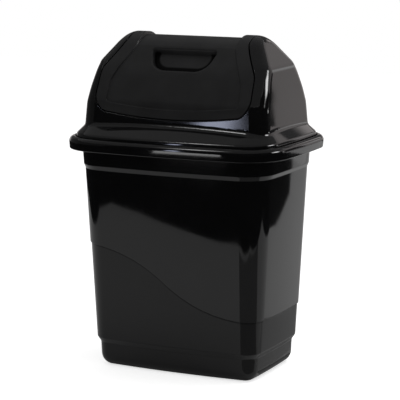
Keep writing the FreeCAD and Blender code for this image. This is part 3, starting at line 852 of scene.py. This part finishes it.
def mirrored_sheet(name, points, faces, material):
    """A sheet of the stage that only reflections see."""
    sheet = stage_sheet(name, points, faces, material)
    sheet.visible_camera = False
    sheet.visible_diffuse = False
    sheet.visible_shadow = False
    sheet.visible_transmission = False
    return sheet


def square_floor(side, material):
    """The floor that the can stands on."""
    half = side / 2
    corners = [(-half, -half, 0), (half, -half, 0), (half, half, 0), (-half, half, 0)]
    stage_sheet("floor", corners, [(0, 1, 2, 3)], material)


def dark_room_floor(reach):
    """The room round the edge of the white table."""
    points = []
    for x, y in TABLE_EDGE:
        out = Vector((x, y)).normalized() * reach
        points.append((x, y, DARK_ROOM_HEIGHT))
        points.append((out.x, out.y, DARK_ROOM_HEIGHT))
    count = len(points)
    faces = [(i, i + 1, (i + 3) % count, (i + 2) % count) for i in range(0, count, 2)]
    mirrored_sheet("dark_room_floor", points, faces, glowing_board("dark_room", DARK_ROOM_GLOW))


def floor_patch(name, outline, height, brightness):
    """A flat patch just over the floor."""
    points = [(x, y, height) for x, y in outline]
    mirrored_sheet(name, points, [tuple(range(len(points)))], glowing_board(name, brightness))


def facing(azimuth, elevation):
    """Direction from the can. Azimuth 0 is in front of it and a quarter turn is on its right."""
    level = math.cos(elevation)
    return Vector((math.sin(azimuth) * level, -math.cos(azimuth) * level, math.sin(elevation)))


def between(ends, share):
    """Value at a share of the way between two ends."""
    return ends[0] + (ends[1] - ends[0]) * share


def edge_fade(share, soft):
    """0 at both ends of a board and 1 inside, reached over the share soft of its length."""
    return min(1.0, min(share, 1 - share) / soft) if soft else 1.0


def studio_board(name, azimuths, elevations, distance, soft, material):
    """A curved board round the can between two azimuths and two elevations, in degrees.

    Over the share soft of its width and height the board fades to its edges.
    """
    points = []
    fades = []
    for row in range(BOARD_STEPS + 1):
        rise = row / BOARD_STEPS
        for column in range(BOARD_STEPS + 1):
            turn = column / BOARD_STEPS
            way = facing(math.radians(between(azimuths, turn)), math.radians(between(elevations, rise)))
            points.append(BOARD_MIDDLE + way * distance)
            fades.append(edge_fade(turn, soft) * edge_fade(rise, soft))
    wide = BOARD_STEPS + 1
    faces = []
    for row in range(BOARD_STEPS):
        for column in range(BOARD_STEPS):
            first = row * wide + column
            faces.append((first, first + 1, first + 1 + wide, first + wide))
    board = mirrored_sheet(name, points, faces, material)
    board.data.attributes.new("fade", "FLOAT", "POINT").data.foreach_set("value", fades)
    return board


def place_boards():
    """Boards for the reflections. Some of them reach only the polished pieces."""
    polished = bpy.data.collections.new("polished_pieces")
    for piece in (bpy.data.objects["moulded_bucket"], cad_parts["hood"]):
        polished.objects.link(piece)
    for name, azimuths, elevations, distance, colour, brightness, soft in BOARDS:
        material = faded_board(name, colour, brightness)
        board = studio_board(name, azimuths, elevations, distance, soft, material)
        if name.startswith(POLISHED_ONLY):
            board.light_linking.receiver_collection = polished


def light_world(scene):
    """White to the camera and to reflections, a plain soft light to everything else."""
    world = bpy.data.worlds.new("white_studio")
    world.use_nodes = True
    tree = world.node_tree
    tree.nodes.clear()
    ray = add_node(tree, "ShaderNodeLightPath").node.outputs
    seen = ray["Is Camera Ray"]
    for kind in ("Is Glossy Ray", "Is Transmission Ray"):
        seen = add_node(tree, "ShaderNodeMath", seen, ray[kind], operation="MAXIMUM")
    strength = add_node(tree, "ShaderNodeMapRange", seen, 0.0, 1.0, WORLD_LIGHT, WORLD_SEEN)
    sky = add_node(tree, "ShaderNodeBackground", linear(WHITE), strength)
    add_node(tree, "ShaderNodeOutputWorld", sky)
    scene.world = world


def place_softbox(scene):
    """A large soft lamp that reflections don't see."""
    lamp = bpy.data.lights.new("top_softbox", "AREA")
    lamp.size = SOFTBOX_SIZE
    lamp.energy = SOFTBOX_POWER
    holder = bpy.data.objects.new("top_softbox", lamp)
    holder.location = SOFTBOX_PLACE
    holder.rotation_euler = (SOFTBOX_PLACE - SOFTBOX_AIM).to_track_quat("Z", "Y").to_euler()
    holder.visible_glossy = False
    scene.collection.objects.link(holder)


def place_camera(scene, stage):
    """A long lens in front of the can on its right."""
    camera = bpy.data.cameras.new("camera")
    camera.lens = stage.lens
    camera.shift_x, camera.shift_y = stage.shift
    back = facing(stage.azimuth, stage.elevation)
    holder = bpy.data.objects.new("camera", camera)
    holder.location = Vector((0, 0, stage.aim_height)) + back * stage.distance
    holder.rotation_euler = back.to_track_quat("Z", "Y").to_euler()
    scene.collection.objects.link(holder)
    scene.camera = holder


class TRASHCAN_OT_stage(bpy.types.Operator):
    """Set the floor, the light and the camera"""
    bl_idname = "trashcan.stage"
    bl_label = "Stage"

    def execute(self, context):
        scene = context.scene
        stage = scene.can_stage
        scene.view_settings.view_transform = "Standard"
        square_floor(stage.floor_size, white_paper(stage.floor_colour, stage.floor_glow))
        dark_room_floor(stage.floor_size / 2)
        for patch in FLOOR_PATCHES:
            floor_patch(*patch)
        place_boards()
        light_world(scene)
        place_softbox(scene)
        place_camera(scene, stage)
        return {"FINISHED"}


class TRASHCAN_PT_panel(bpy.types.Panel):
    """Lists the steps that build the can and their settings"""
    bl_label = "Trash can"
    bl_idname = "TRASHCAN_PT_panel"
    bl_space_type = "VIEW_3D"
    bl_region_type = "UI"
    bl_category = "Trash can"

    def draw(self, context):
        scene = context.scene
        for operator in OPERATORS:
            self.layout.operator(operator.bl_idname)
        for settings in (scene.can_plastic, scene.can_bucket, scene.can_recess, scene.can_stage):
            box = self.layout.box()
            for name in settings.__annotations__:
                box.prop(settings, name)


OPERATORS = (TRASHCAN_OT_bucket, TRASHCAN_OT_hood, TRASHCAN_OT_flap, TRASHCAN_OT_stage)
CLASSES = (PlasticSettings, BucketSettings, RecessSettings, StageSettings) + OPERATORS + (TRASHCAN_PT_panel,)


def register():
    """Adds the classes and their settings to Blender."""
    for cls in CLASSES:
        bpy.utils.register_class(cls)
    bpy.types.Scene.can_plastic = PointerProperty(type=PlasticSettings)
    bpy.types.Scene.can_bucket = PointerProperty(type=BucketSettings)
    bpy.types.Scene.can_recess = PointerProperty(type=RecessSettings)
    bpy.types.Scene.can_stage = PointerProperty(type=StageSettings)


def unregister():
    """Takes the settings and the classes out again."""
    del bpy.types.Scene.can_stage
    del bpy.types.Scene.can_recess
    del bpy.types.Scene.can_bucket
    del bpy.types.Scene.can_plastic
    for cls in reversed(CLASSES):
        bpy.utils.unregister_class(cls)


def main():
    """Builds the can and its stage."""
    register()
    bpy.ops.trashcan.bucket()
    bpy.ops.trashcan.hood()
    bpy.ops.trashcan.flap()
    bpy.ops.trashcan.stage()


if __name__ == "__main__":
    main()
